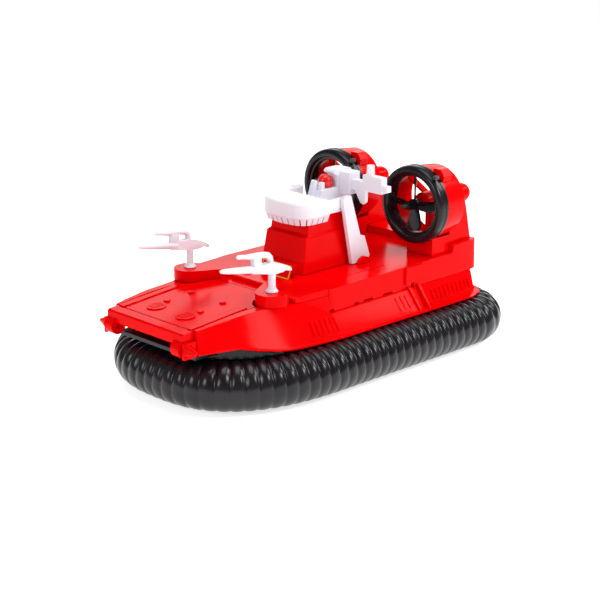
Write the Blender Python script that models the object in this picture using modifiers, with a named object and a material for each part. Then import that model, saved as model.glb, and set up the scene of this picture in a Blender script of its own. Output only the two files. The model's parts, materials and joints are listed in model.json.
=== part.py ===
"""Toy fire hovercraft: a ribbed skirt, a red hull with a bow ramp, a bridge with a hinged canopy and mast,
two water cannons and two ducted fans. +X is the bow, +Y is port, +Z is up, and the floor is z = 0.
Sizes in the tables and calls are in millimetres; the meshes are made in metres."""

import math

import bmesh
import bpy
from mathutils import Matrix, Vector

MM = 0.001
GAP = 0.3

# Skirt: a ribbed tube that runs round the plan outline of its centre line.
SKIRT_RADIUS = 24.2
SKIRT_LIFT = 1.0
SKIRT_STERN_X = -181.0
SKIRT_STERN_HALF = 99.7
SKIRT_SHOULDER_X = 30.0
SKIRT_SHOULDER_HALF = 96.0
SKIRT_BOW_X = 176.0
SKIRT_BOW_POWER = 2.75
SKIRT_STERN_CORNER = 34.0
RIB_PITCH = 11.0
RIB_DEPTH = 1.8
SKIRT_MID_Z = SKIRT_LIFT + SKIRT_RADIUS

# Hull, decks and bay.
DECK_Z = 95.0
AFT_DECK_Z = 103.0
FOREDECK_Z = 91.0
JOIN_Z = 71.5
BAY_HALF = 54.5
BAY_AFT_X = 82.0
BAY_FRONT_X = 186.0
BAY_FLOOR_Z = 58.0
BAY_FLOOR_THICK = 4.0
APRON_INSET = (3.0, 7.0)

# Bow ramp and its hinge.
RAMP_HINGE = (196.7, 0.0, 67.5)
RAMP_HALF = 53.8
RAMP_THICK = 11.0
RAMP_FRONT = (200.0, 82.0)
RAMP_AFT = (83.0, 91.0)
LOBE_RADIUS = 8.5
RELIEF = 1.0
RIM_Y = 48.3
GROOVE_Y = 43.3
GROOVE_X = (120.0, 188.0)
GROOVE_HALF = 0.8
GROOVE_Z = (-1.3, 3.0)
HATCH_PLACE = (168.0, 21.0)
HATCH_RADIUS = 9.3
BOSS_PLACES = ((152.8, 23.7), (124.0, 22.4))

# Flange ribs: first station, last station and number of the small ones; stations of the large ones.
RIB_GROUPS = ((-161.8, -103.3, 10), (-62.0, -48.0, 3), (38.0, 68.0, 6))
BUTTRESS_X = (-72.0, -86.0)

# Dark slots at the foot of the deckhouse: aft end, fore end and top of each.
SIDE_SLOTS = (
    (33.0, 38.5, 74.3),
    (-1.0, 5.5, 74.0),
    (-21.5, -8.0, 74.0),
    (-49.0, -35.5, 74.0),
    (-81.5, -76.5, 77.5),
)

# Bridge tower: its wall, and the console and notch at its foot.
TOWER_WALL = 2.0
CONSOLE_HALF = 22.0
NOTCH_HALF = 28.5

# Canopy with its legs, beacon and mast, which tilt aft together about the feet of the legs.
MAST_PIVOT = (-52.0, 0.0, 98.0)
MAST_Y = (-4.5, 9.0)
LUG_CENTRE = (-49.0, 93.0)
LUG_RADIUS = 9.0
LEG_Y = (32.9, 37.0)
CANOPY_AFT_X = -8.0
CANOPY_FRONT_X = 31.2
CANOPY_HALF = 32.4
CANOPY_CORNER = 19.0
CANOPY_BULGE = 1.6
CANOPY_TOP_Z = 165.0
CANOPY_WALL = 2.0
FRINGE_Z = (143.0, 151.0)
FRINGE_TAPER = 3.6
TEETH = 17
ROOF_Z = (151.0, 153.5)
CHEEK_AFT_X = -33.0
BEACON_PLACE = (-34.0, 0.0, 169.3)
BEACON_RADIUS = 7.6
BEACON_HEIGHT = 12.7

# Fans.
FAN_Y = 56.4
FAN_Z = 148.5
RING_RADIUS = 39.8
RING_FRONT_X = -98.0
RING_BACK_X = -111.0
FAN_X = -105.5
BLADE_TIP = 27.5
BLADE_THICK = 2.0
DUCT_BACK_X = -140.0
BODY_RADIUS = 10.0
BODY_FRONT_X = -116.0
DOME_X = -177.0

# Cannons on their pods.
POD_X = 94.6
POD_Y = 57.8
POD_BASE_Z = 88.8
POD_Z = 100.0
POD_RADIUS = 16.0
POD_TAIL = 30.0

# Wheels under the belly.
WHEEL_RADIUS = 10.5
WHEEL_Y = 52.0
AXLE_X = {"front": 118.0, "rear": -138.0}
BELLY_Z = (24.0, 27.0)

SIDES = ((1, "port"), (-1, "starboard"))

RED = ("red_plastic", (0.80, 0.005, 0.010), 0.22)
WHITE = ("white_plastic", (0.86, 0.84, 0.85), 0.35)
BLACK = ("black_plastic", (0.010, 0.010, 0.012), 0.30)
SKIRT_BLACK = ("skirt_plastic", (0.013, 0.013, 0.015), 0.38)


def clear_scene():
    for obj in list(bpy.data.objects):
        bpy.data.objects.remove(obj, do_unlink=True)


def new_collection(name, hidden=False):
    collection = bpy.data.collections.new(name)
    bpy.context.scene.collection.children.link(collection)
    collection.hide_render = hidden
    return collection


clear_scene()
PARTS = new_collection("hovercraft")
CUTTERS = new_collection("cutters", hidden=True)


def material(finish):
    """A Principled material from (name, linear colour, roughness), made once."""
    name, colour, roughness = finish
    found = bpy.data.materials.get(name)
    if found:
        return found
    made = bpy.data.materials.new(name)
    made.use_nodes = True
    shader = made.node_tree.nodes["Principled BSDF"]
    shader.inputs["Base Color"].default_value = (*colour, 1.0)
    shader.inputs["Roughness"].default_value = roughness
    shader.inputs["Metallic"].default_value = 0.0
    return made


def finish_object(name, bm, finish, smooth_angle=35.0):
    """Turns a bmesh in millimetres into an object in metres."""
    bmesh.ops.scale(bm, vec=(MM, MM, MM), verts=bm.verts)
    bmesh.ops.recalc_face_normals(bm, faces=bm.faces)
    mesh = bpy.data.meshes.new(name)
    bm.to_mesh(mesh)
    bm.free()
    mesh.shade_smooth()
    mesh.set_sharp_from_angle(angle=math.radians(smooth_angle))
    obj = bpy.data.objects.new(name, mesh)
    mesh.materials.append(material(finish))
    PARTS.objects.link(obj)
    return obj


def as_cutter(obj):
    PARTS.objects.unlink(obj)
    CUTTERS.objects.link(obj)
    obj.hide_render = True
    obj.display_type = "WIRE"
    return obj


def boolean(obj, other, operation="DIFFERENCE"):
    modifier = obj.modifiers.new(operation.lower(), "BOOLEAN")
    modifier.operation = operation
    modifier.object = as_cutter(other)
    return obj


def bevel(obj, width, segments=1, angle=40.0):
    modifier = obj.modifiers.new("bevel", "BEVEL")
    modifier.width = width * MM
    modifier.segments = segments
    modifier.limit_method = "ANGLE"
    modifier.angle_limit = math.radians(angle)
    return obj


def box(name, xs, ys, zs, finish):
    """A box between two values on each axis."""
    bm = bmesh.new()
    bmesh.ops.create_cube(bm, size=1.0)
    size = [high - low for low, high in (xs, ys, zs)]
    middle = [(high + low) / 2 for low, high in (xs, ys, zs)]
    bmesh.ops.scale(bm, vec=size, verts=bm.verts)
    bmesh.ops.translate(bm, vec=middle, verts=bm.verts)
    return finish_object(name, bm, finish)


AXIS_TURN = {
    "X": Matrix.Rotation(math.radians(90), 4, "Y"),
    "Y": Matrix.Rotation(math.radians(-90), 4, "X"),
    "Z": Matrix.Identity(4),
}


def cone(name, base, axis, length, radii, finish, segments=24):
    """A cylinder or cone from a base point, along +axis, with a radius at each end."""
    bm = bmesh.new()
    bmesh.ops.create_cone(
        bm, cap_ends=True, segments=segments, radius1=radii[0], radius2=radii[1], depth=length
    )
    bmesh.ops.translate(bm, vec=(0, 0, length / 2), verts=bm.verts)
    bmesh.ops.transform(bm, matrix=AXIS_TURN[axis], verts=bm.verts)
    bmesh.ops.translate(bm, vec=base, verts=bm.verts)
    return finish_object(name, bm, finish)


# Turns a flat outline's (u, v, depth) into (x, y, z) for each axis it is drawn out along.
DRAW_TURN = {
    "X": Matrix(((0, 0, 1, 0), (1, 0, 0, 0), (0, 1, 0, 0), (0, 0, 0, 1))),
    "Y": Matrix(((1, 0, 0, 0), (0, 0, 1, 0), (0, 1, 0, 0), (0, 0, 0, 1))),
    "Z": Matrix.Identity(4),
}


def curve_mesh(curve):
    """The mesh of a curve, with its caps welded on, as a bmesh; the curve is removed."""
    obj = bpy.data.objects.new("curve", curve)
    PARTS.objects.link(obj)
    graph = bpy.context.evaluated_depsgraph_get()
    mesh = bpy.data.meshes.new_from_object(obj.evaluated_get(graph))
    bm = bmesh.new()
    bm.from_mesh(mesh)
    bmesh.ops.remove_doubles(bm, verts=bm.verts, dist=0.001)
    bpy.data.objects.remove(obj)
    bpy.data.meshes.remove(mesh)
    return bm


def prism(name, outline, axis, low, high, finish):
    """A flat outline, given on the two axes other than this one, drawn out from low to high."""
    curve = bpy.data.curves.new(name, "CURVE")
    curve.dimensions = "2D"
    curve.fill_mode = "BOTH"
    curve.extrude = (high - low) / 2
    spline = curve.splines.new("POLY")
    spline.points.add(len(outline) - 1)
    for point, (u, v) in zip(spline.points, outline):
        point.co = (u, v, 0.0, 1.0)
    spline.use_cyclic_u = True
    bm = curve_mesh(curve)
    bmesh.ops.translate(bm, vec=(0.0, 0.0, (high + low) / 2), verts=bm.verts)
    bmesh.ops.transform(bm, matrix=DRAW_TURN[axis], verts=bm.verts)
    return finish_object(name, bm, finish)


def loft(name, rings, finish, closed=False, smooth_angle=35.0):
    """Bridges rings that have the same number of points, with end caps, or closed into a loop."""
    bm = bmesh.new()
    rows = [[bm.verts.new(point) for point in ring] for ring in rings]
    pairs = list(zip(rows[:-1], rows[1:]))
    if closed:
        pairs.append((rows[-1], rows[0]))
    for row, following in pairs:
        for i in range(len(row)):
            j = (i + 1) % len(row)
            bm.faces.new((row[i], row[j], following[j], following[i]))
    if not closed:
        bm.faces.new(rows[0])
        bm.faces.new(rows[-1])
    return finish_object(name, bm, finish, smooth_angle)


def turned(name, profile, place, finish, steps=32, axis="X"):
    """A (radius, height) profile, top to bottom on its outer side, turned by a Screw about X or Z."""
    mesh = bpy.data.meshes.new(name)
    verts = [(radius * MM, 0.0, height * MM) for radius, height in profile]
    edges = [(i, (i + 1) % len(verts)) for i in range(len(verts))]
    if profile[0][0] == 0.0 and profile[-1][0] == 0.0:
        edges.pop()
    mesh.from_pydata(verts, edges, [])
    mesh.materials.append(material(finish))
    obj = bpy.data.objects.new(name, mesh)
    PARTS.objects.link(obj)
    screw = obj.modifiers.new("screw", "SCREW")
    screw.axis = "Z"
    screw.steps = steps
    screw.render_steps = steps
    screw.use_merge_vertices = True
    screw.merge_threshold = 0.0001
    screw.use_smooth_shade = True
    obj.rotation_euler = (0.0, math.radians(90 if axis == "X" else 0), 0.0)
    obj.location = Vector(place) * MM
    return obj


def arc(centre, radius, start, end, count):
    """Points on an arc between two angles in degrees."""
    points = []
    for i in range(count):
        angle = math.radians(start + (end - start) * i / (count - 1))
        points.append((centre[0] + radius * math.cos(angle), centre[1] + radius * math.sin(angle)))
    return points


def mirrored(points):
    return [(x, -y) for x, y in points]


def span(side, near, far):
    """The low and high end of a stretch across the craft, on one side of it."""
    return sorted((side * near, side * far))


def hinge_empty(name, place):
    empty = bpy.data.objects.new(name, None)
    empty.location = Vector(place) * MM
    PARTS.objects.link(empty)
    return empty


def carry(empty, *objects):
    """Hangs objects on an empty and keeps them where they are."""
    for obj in objects:
        obj.parent = empty
        obj.location = obj.location - empty.location


def skirt_plan():
    """Closed plan outline of the skirt's centre line, from the middle of the stern round by port."""
    half = [(SKIRT_STERN_X, 0.0)]
    centre = (SKIRT_STERN_X + SKIRT_STERN_CORNER, SKIRT_STERN_HALF - SKIRT_STERN_CORNER)
    half += arc(centre, SKIRT_STERN_CORNER, 180, 90, 9)
    half.append((SKIRT_SHOULDER_X, SKIRT_SHOULDER_HALF))
    length = SKIRT_BOW_X - SKIRT_SHOULDER_X
    for i in range(1, 31):
        angle = math.pi / 2 * i / 30
        along = math.sin(angle) ** (2 / SKIRT_BOW_POWER)
        across = max(math.cos(angle), 0.0) ** (2 / SKIRT_BOW_POWER)
        half.append((SKIRT_SHOULDER_X + length * along, SKIRT_SHOULDER_HALF * across))
    return half + mirrored(half[-2:0:-1])


def resample(loop, count):
    """Even steps along a closed loop, each as (point, outward normal)."""
    lengths = [0.0]
    for a, b in zip(loop, loop[1:] + loop[:1]):
        lengths.append(lengths[-1] + math.dist(a, b))
    steps = []
    index = 0
    for i in range(count):
        wanted = lengths[-1] * i / count
        while lengths[index + 1] < wanted:
            index += 1
        a, b = loop[index], loop[(index + 1) % len(loop)]
        share = (wanted - lengths[index]) / (lengths[index + 1] - lengths[index])
        steps.append((a[0] + (b[0] - a[0]) * share, a[1] + (b[1] - a[1]) * share))
    result = []
    for i, point in enumerate(steps):
        before, after = steps[i - 1], steps[(i + 1) % count]
        tangent = (after[0] - before[0], after[1] - before[1])
        size = math.hypot(*tangent)
        result.append((point, (-tangent[1] / size, tangent[0] / size)))
    return result


def offset_plan(inset, count=96):
    """The skirt's plan moved inwards by an inset, square to its edge."""
    return [(x - nx * inset, y - ny * inset) for (x, y), (nx, ny) in resample(skirt_plan(), count)]


def loop_length(loop):
    return sum(math.dist(a, b) for a, b in zip(loop, loop[1:] + loop[:1]))


def make_skirt():
    """A tube round the plan, with a flat crest on each rib and a narrow groove between two."""
    ribs = round(loop_length(skirt_plan()) / RIB_PITCH)
    quarters = resample(skirt_plan(), ribs * 4)
    steps = [(point, i % 4 == 0) for i, (point, _) in enumerate(quarters) if i % 4 != 2]
    curve = bpy.data.curves.new("skirt", "CURVE")
    curve.dimensions = "3D"
    curve.twist_mode = "Z_UP"
    curve.bevel_depth = SKIRT_RADIUS
    curve.bevel_resolution = 4
    spline = curve.splines.new("POLY")
    spline.points.add(len(steps) - 1)
    for point, ((x, y), in_groove) in zip(spline.points, steps):
        point.co = (x, y, SKIRT_MID_Z, 1.0)
        point.radius = 1.0 - RIB_DEPTH / SKIRT_RADIUS if in_groove else 1.0
    spline.use_cyclic_u = True
    return finish_object("skirt", curve_mesh(curve), SKIRT_BLACK, smooth_angle=60.0)


def make_belly():
    """The flat plate inside the skirt, with the bearing blocks of both axles."""
    outline = offset_plan(SKIRT_RADIUS + GAP)
    prism("belly_plate", outline, "Z", *BELLY_Z, BLACK)
    for place, x in AXLE_X.items():
        for side, word in SIDES:
            y = side * (WHEEL_Y - 16.0)
            block = box(
                f"bearing_block_{place}_{word}",
                (x - 6.0, x + 6.0),
                (y - 3.0, y + 3.0),
                (WHEEL_RADIUS - 5.5, BELLY_Z[0] - GAP),
                BLACK,
            )
            hole = cone("axle_hole", (x, y - 5.0, WHEEL_RADIUS), "Y", 10.0, (2.3, 2.3), BLACK, 16)
            boolean(block, hole)


def make_wheels():
    """Two axles, each with two wheels that turn with it."""
    for place, x in AXLE_X.items():
        rod_half = WHEEL_Y - 4.0 - GAP
        rod = cone(
            f"axle_{place}", (x, -rod_half, WHEEL_RADIUS), "Y", rod_half * 2, (2.0, 2.0), BLACK, 12
        )
        axle = hinge_empty(f"axle_pivot_{place}", (x, 0.0, WHEEL_RADIUS))
        wheels = []
        for side, word in SIDES:
            base = (x, side * WHEEL_Y - 4.0, WHEEL_RADIUS)
            wheel = cone(
                f"wheel_{place}_{word}", base, "Y", 8.0, (WHEEL_RADIUS, WHEEL_RADIUS), BLACK, 28
            )
            wheels.append(bevel(wheel, 1.0))
        carry(axle, rod, *wheels)


# Hull stations: x, then half width and height of the rim, ledge, wall foot and wall top.
HULL_STATIONS = (
    (-184.0, 62.0, 49.8, 59.0, 51.8, 58.0, 66.0, 56.0, 71.0),
    (-180.0, 80.0, 49.8, 75.0, 51.8, 72.0, 66.0, 70.0, 71.0),
    (-170.0, 92.0, 49.8, 84.5, 51.8, 80.0, 66.0, 78.0, 71.0),
    (-152.0, 98.5, 49.8, 88.0, 51.8, 80.5, 67.0, 78.5, 71.5),
    (-94.0, 98.0, 49.8, 88.0, 51.8, 80.5, 67.0, 78.5, 71.5),
    (-76.0, 97.8, 49.8, 95.8, 51.8, 80.5, 71.0, 78.5, 71.5),
    (39.8, 95.4, 49.8, 93.0, 52.0, 80.2, 71.0, 78.3, 71.5),
    (40.2, 95.3, 49.8, 92.9, 52.0, 80.0, 72.0, 77.5, 88.5),
    (70.0, 92.0, 49.8, 89.8, 52.4, 79.0, 73.0, 75.5, 88.5),
    (95.0, 89.0, 50.5, 87.5, 54.5, 78.0, 72.5, 72.5, 88.5),
    (112.0, 86.0, 52.5, 84.5, 56.0, 74.0, 73.0, 64.0, 88.2),
    (132.0, 80.0, 56.5, 78.5, 59.0, 68.5, 74.0, 62.0, 87.8),
    (149.0, 71.0, 60.0, 70.0, 62.5, 65.0, 74.0, 61.8, 86.8),
    (175.0, 64.0, 60.5, 63.5, 63.0, 61.0, 73.0, 59.0, 84.5),
    (187.0, 60.0, 60.5, 59.5, 63.0, 58.2, 72.0, 57.2, 83.2),
)


def hull_ring(station):
    x, rim_y, rim_z, ledge_y, ledge_z, foot_y, foot_z, top_y, top_z = station
    port = [(rim_y, rim_z), (rim_y, rim_z + 1.5), (ledge_y, ledge_z), (foot_y, foot_z), (top_y, top_z)]
    starboard = [(-y, z) for y, z in reversed(port)]
    return [(x, y, z) for y, z in port + starboard]


def make_hull():
    """The red hull with its flange and bow cheeks; the bay is cut open to the bow."""
    hull = loft("hull", [hull_ring(station) for station in HULL_STATIONS], RED)
    bay = box("bay_space", (BAY_AFT_X, 230.0), (-BAY_HALF, BAY_HALF), (40.0, 120.0), RED)
    boolean(hull, bay)
    foredeck = box("foredeck", (40.3, BAY_AFT_X - 0.2), (-NOTCH_HALF, NOTCH_HALF), (80.0, FOREDECK_Z), RED)
    boolean(hull, foredeck, "UNION")
    ridge = prism("foredeck_ridge", RIDGE_VIEW, "Y", -RIDGE_HALF, RIDGE_HALF, RED)
    boolean(hull, ridge, "UNION")
    for first, last, count in RIB_GROUPS:
        boolean(hull, flange_ribs(first, last, count), "UNION")
    for side, word in SIDES:
        for x in BUTTRESS_X:
            outline = [(y * side, z) for y, z in BUTTRESS_VIEW]
            buttress = prism(f"buttress_{word}_{x}", outline, "X", x - 1.1, x + 1.1, RED)
            boolean(hull, buttress, "UNION")


# Side view of the low ridge across the foredeck, behind the bay.
RIDGE_VIEW = ((64.5, 88.0), (64.5, 95.3), (70.4, 95.3), (72.0, 93.7), (72.0, 88.0))
RIDGE_HALF = 23.0

# Section of a large rib that stands on the flange.
BUTTRESS_VIEW = (
    (79.6, 69.0),
    (79.6, 74.0),
    (83.0, 71.6),
    (89.0, 63.8),
    (94.0, 57.5),
    (97.5, 52.6),
    (97.5, 50.6),
    (86.0, 52.0),
)


def station(x):
    """The values of the hull's stations at x, read between the two nearest."""
    for before, after in zip(HULL_STATIONS[:-1], HULL_STATIONS[1:]):
        if x <= after[0]:
            share = (x - before[0]) / (after[0] - before[0])
            return [a + (b - a) * share for a, b in zip(before, after)]
    return list(HULL_STATIONS[-1])


def flange_ribs(first, last, count):
    """A row of small upright ribs on the sloping flange, on both sides."""
    bm = bmesh.new()
    for i in range(count):
        x = first + (last - first) * i / (count - 1)
        _, _, _, ledge_y, ledge_z, foot_y, foot_z, _, _ = station(x)
        slope = Vector((0.0, ledge_y - foot_y, ledge_z - foot_z))
        for side, _ in SIDES:
            middle = Vector((x, (foot_y + slope.y * 0.46) * side, foot_z + slope.z * 0.46))
            tilt = Matrix.Rotation(math.atan2(slope.z, slope.y * side), 4, "X")
            size = Matrix.Diagonal((1.5, slope.length * 0.62, 2.2, 1.0))
            bmesh.ops.create_cube(bm, size=1.0, matrix=Matrix.Translation(middle) @ tilt @ size)
    return finish_object(f"ribs_{first}", bm, RED)


def make_bay_floor():
    box(
        "bay_floor",
        (BAY_AFT_X + GAP, BAY_FRONT_X),
        (-BAY_HALF + GAP, BAY_HALF - GAP),
        (BAY_FLOOR_Z - BAY_FLOOR_THICK, BAY_FLOOR_Z),
        BLACK,
    )


def make_apron():
    """The black band that stands on the skirt and closes the bow under the rim."""
    rings = []
    for (x, y), (nx, ny) in resample(skirt_plan(), 120):
        if x < 100.0:
            continue
        foot = SKIRT_MID_Z + math.sqrt(SKIRT_RADIUS**2 - APRON_INSET[0] ** 2) + GAP
        top = max(station(x)[2] - 1.0, foot + 0.3)
        outer = (x - nx * APRON_INSET[0], y - ny * APRON_INSET[0])
        inner = (x - nx * APRON_INSET[1], y - ny * APRON_INSET[1])
        rings.append([(*outer, foot), (*outer, top), (*inner, top), (*inner, foot)])
    apron = loft("bow_apron", rings, BLACK)
    low = BAY_FLOOR_Z - BAY_FLOOR_THICK - GAP
    floor_space = box("floor_space", (80.0, 230.0), (-BAY_HALF, BAY_HALF), (low, 80.0), BLACK)
    boolean(apron, floor_space)


# Deckhouse sections: x, half width at the foot, half width at the top and height of the top.
DECKHOUSE_SECTIONS = (
    (-183.0, 64.0, 62.0, AFT_DECK_Z - 1.0),
    (-177.5, 77.5, 77.0, AFT_DECK_Z + 1.0),
    (-170.0, 78.5, 80.0, AFT_DECK_Z + 1.0),
    (-140.5, 78.5, 79.5, AFT_DECK_Z),
    (-140.0, 78.5, 79.0, DECK_Z),
    (32.0, 78.5, 79.0, DECK_Z),
    (39.8, 77.6, 77.9, DECK_Z),
)
PANEL_X = (-92.0, -67.0)
DECK_LINE_X = (-58.0, 14.0)
DECK_LINE_Y = (58.4, 59.6)
DECK_LINE_DEPTH = 0.8


def make_deckhouse():
    """Main deckhouse on the hull, with a higher after part under the fans."""
    low = JOIN_Z + GAP
    rings = []
    for x, half_low, half_top, top in DECKHOUSE_SECTIONS:
        rings.append([(x, half_low, low), (x, half_top, top), (x, -half_top, top), (x, -half_low, low)])
    deckhouse = loft("deckhouse", rings, RED)
    for side, word in SIDES:
        boolean(deckhouse, make_shoulder(side, word), "UNION")
        panel = box(f"side_panel_{word}", PANEL_X, span(side, 76.0, 81.0), (76.5, DECK_Z - 1.0), RED)
        boolean(deckhouse, panel, "UNION")
        for aft, fore, top in SIDE_SLOTS:
            slot = box(f"slot_{word}_{aft}", (aft, fore), span(side, 75.0, 83.0), (70.0, top), RED)
            boolean(deckhouse, slot)
        line_z = (DECK_Z - DECK_LINE_DEPTH, DECK_Z + 2.0)
        line = box(f"deck_line_{word}", DECK_LINE_X, span(side, *DECK_LINE_Y), line_z, RED)
        boolean(deckhouse, line)
    notch = box("console_space", (33.6, 50.0), (-NOTCH_HALF, NOTCH_HALF), (FOREDECK_Z, DECK_Z + 2.0), RED)
    boolean(deckhouse, notch)


# Plan of the shoulder that carries the deck forward to a cannon pod.
SHOULDER_PLAN = ((39.0, 28.8), (80.0, 28.8), (80.0, 73.9), (70.0, 75.3), (39.0, 77.3))
SHOULDER_Z = 88.8


def make_shoulder(side, word):
    """The outer deck before the deckhouse, cut back round the pod that stands in its front edge."""
    shoulder = prism(
        f"shoulder_{word}", [(x, y * side) for x, y in SHOULDER_PLAN], "Z", SHOULDER_Z, DECK_Z, RED
    )
    around_pod = [(x, y * side) for x, y in pod_outline(POD_RADIUS + GAP, POD_TAIL)]
    boolean(shoulder, prism(f"pod_space_{word}", around_pod, "Z", 80.0, 120.0, RED))
    front = [(70.0, 95.6), (81.0, 92.0), (81.0, 97.0), (70.0, 97.0)]
    return boolean(shoulder, prism(f"shoulder_slope_{word}", front, "Y", -90.0, 90.0, RED))


def pod_outline(radius, tail):
    """Teardrop plan round a port post, its tail towards the middle of the bridge."""
    aft = math.radians(225)
    tip = (POD_X + tail * math.cos(aft), POD_Y + tail * math.sin(aft))
    points = arc((POD_X, POD_Y), radius, -60, 150, 22)
    points += arc(tip, radius - 8.5, 150, 300, 9)
    return points


def make_pods():
    """Raised platforms that carry the water cannons."""
    for side, word in SIDES:
        outline = [(x, y * side) for x, y in pod_outline(POD_RADIUS, POD_TAIL)]
        pod = prism(f"cannon_pod_{word}", outline, "Z", POD_BASE_Z, POD_Z, RED)
        hole = cone("post_hole", (POD_X, side * POD_Y, 92.0), "Z", 20.0, (3.0, 3.0), RED, 20)
        boolean(pod, hole)
        bevel(pod, 1.0)


def make_ramp():
    """The lid of the bay, hinged at its front lower corners by two lobes."""
    (front_x, front_z), (aft_x, aft_z) = RAMP_FRONT, RAMP_AFT
    hinge_x, _, hinge_z = RAMP_HINGE
    side_view = [
        (front_x, front_z - RAMP_THICK),
        (front_x, front_z - 1.5),
        (front_x - 1.5, front_z),
        (aft_x, aft_z),
        (aft_x, aft_z - 4.0),
        (front_x - 14.0, front_z - RAMP_THICK),
    ]
    ramp = prism("bow_ramp", side_view, "Y", -RAMP_HALF, RAMP_HALF, RED)
    for side, word in SIDES:
        post = cone(f"pod_clearance_{word}", (POD_X, side * POD_Y, 60.0), "Z", 60.0, (18.5, 18.5), RED, 32)
        boolean(ramp, post)
        around_pod = [(x, y * side) for x, y in pod_outline(18.5, POD_TAIL)]
        boolean(ramp, prism(f"tail_clearance_{word}", around_pod, "Z", 60.0, 120.0, RED))
        start = (hinge_x, side * 47.5 - 5.5, hinge_z)
        lobe = cone(f"lobe_{word}", start, "Y", 11.0, (LOBE_RADIUS, LOBE_RADIUS), RED, 24)
        boolean(ramp, lobe, "UNION")
        start = (hinge_x, side * 48.0 - 8.0, hinge_z)
        boolean(ramp, cone(f"pin_hole_{word}", start, "Y", 16.0, (3.0, 3.0), RED, 16))
        add_ramp_relief(ramp, side, word)
    groove = box("groove_front", (-GROOVE_HALF, GROOVE_HALF), (-GROOVE_Y, GROOVE_Y), GROOVE_Z, RED)
    boolean(ramp, on_ramp(groove, GROOVE_X[1], 0.0))
    carry(hinge_empty("ramp_pivot", RAMP_HINGE), ramp)


def ramp_top(x):
    """Height of the top of the ramp at a station x."""
    (front_x, front_z), (aft_x, aft_z) = RAMP_FRONT, RAMP_AFT
    return front_z + (aft_z - front_z) * (front_x - x) / (front_x - aft_x)


def on_ramp(obj, x, y):
    """Moves an object made at the origin to the sloping top of the ramp."""
    (front_x, front_z), (aft_x, aft_z) = RAMP_FRONT, RAMP_AFT
    obj.rotation_euler = (0.0, math.atan2(aft_z - front_z, front_x - aft_x), 0.0)
    obj.location = Vector((x, y, ramp_top(x))) * MM
    return obj


def add_ramp_relief(ramp, side, word):
    """On one half of the ramp: a raised rim, a long groove, a slatted hatch and two small bosses."""
    length = (GROOVE_X[1] - GROOVE_X[0]) / 2
    middle = (GROOVE_X[1] + GROOVE_X[0]) / 2
    rim = box(f"rim_{word}", (-length, length), (-3.5, 3.5), (-2.0, RELIEF), RED)
    boolean(ramp, on_ramp(rim, middle, side * RIM_Y), "UNION")
    groove_x = (-length, length + GROOVE_HALF)
    groove = box(f"groove_{word}", groove_x, (-GROOVE_HALF, GROOVE_HALF), GROOVE_Z, RED)
    boolean(ramp, on_ramp(groove, middle, side * GROOVE_Y))
    x, y = HATCH_PLACE
    hatch = cone(f"hatch_{word}", (0.0, 0.0, -2.0), "Z", 2.0 + RELIEF, (HATCH_RADIUS, HATCH_RADIUS), RED, 32)
    boolean(ramp, on_ramp(hatch, x, side * y), "UNION")
    for step in (-4.5, -1.5, 1.5, 4.5):
        reach = math.sqrt((HATCH_RADIUS - 1.6) ** 2 - step**2)
        slot = box(f"hatch_slot_{word}_{step}", (-reach, reach), (step - 0.7, step + 0.7), (-0.2, 3.0), RED)
        boolean(ramp, on_ramp(slot, x, side * y))
    for x, y in BOSS_PLACES:
        boss = cone(f"boss_{word}_{x}", (0.0, 0.0, -2.0), "Z", 2.0 + RELIEF * 1.6, (3.4, 3.0), RED, 16)
        boolean(ramp, on_ramp(boss, x, side * y), "UNION")


def make_hinge_pins():
    """Hull lugs outside the ramp's lobes, each with a pin inwards and a cone outwards."""
    x, _, z = RAMP_HINGE
    for side, word in SIDES:
        lug_y = span(side, RAMP_HALF + 0.6, 57.5)
        lug = box(f"hinge_lug_{word}", (x - 9.2, x + 5.0), lug_y, (BAY_FLOOR_Z + 1.0, z + 6.5), RED)
        low, high = span(side, 44.0, 56.0)
        pin = cone(f"pin_{word}", (x, low, z), "Y", high - low, (2.6, 2.6), RED, 16)
        boolean(lug, pin, "UNION")
        radii = (6.0, 1.8) if side > 0 else (1.8, 6.0)
        low, high = span(side, 57.0, 68.5)
        cap = cone(f"pin_cone_{word}", (x, low, z - 0.5), "Y", high - low, radii, RED, 20)
        boolean(lug, cap, "UNION")


# Side view of the sloping console at the foot of the tower, which carries a sign.
CONSOLE_VIEW = (
    (25.0, DECK_Z + GAP),
    (33.9, DECK_Z + GAP),
    (33.9, FOREDECK_Z + GAP),
    (36.2, FOREDECK_Z + GAP),
    (31.4, 104.0),
    (29.6, 105.6),
    (24.0, 105.6),
)


# Tower sections: height, aft x, front x and half width, first outside and then of the cabin.
TOWER_SECTIONS = (
    (DECK_Z + GAP, -37.0, 26.0, 30.0),
    (131.0, -37.0, 20.0, 27.5),
    (132.5, -36.8, 16.0, 26.0),
    (150.0, -36.8, 14.0, 25.5),
)
CABIN_SECTIONS = ((97.5, -37.0, 26.0, 30.0), *TOWER_SECTIONS[1:3], (156.0, -36.8, 14.0, 25.5))


def make_tower():
    """The hollow bridge tower, open at its top under the canopy."""
    tower = loft("bridge_tower", [rectangle_ring(*section) for section in TOWER_SECTIONS], RED)
    inner = []
    for z, aft, front, half in CABIN_SECTIONS:
        inner.append(rectangle_ring(z, aft + TOWER_WALL, front - TOWER_WALL, half - TOWER_WALL))
    boolean(tower, loft("cabin_space", inner, RED))
    console = prism("console", CONSOLE_VIEW, "Y", -CONSOLE_HALF, CONSOLE_HALF, RED)
    boolean(tower, console, "UNION")


def rectangle_ring(z, aft, front, half):
    return [(aft, half, z), (front, half, z), (front, -half, z), (aft, -half, z)]


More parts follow.
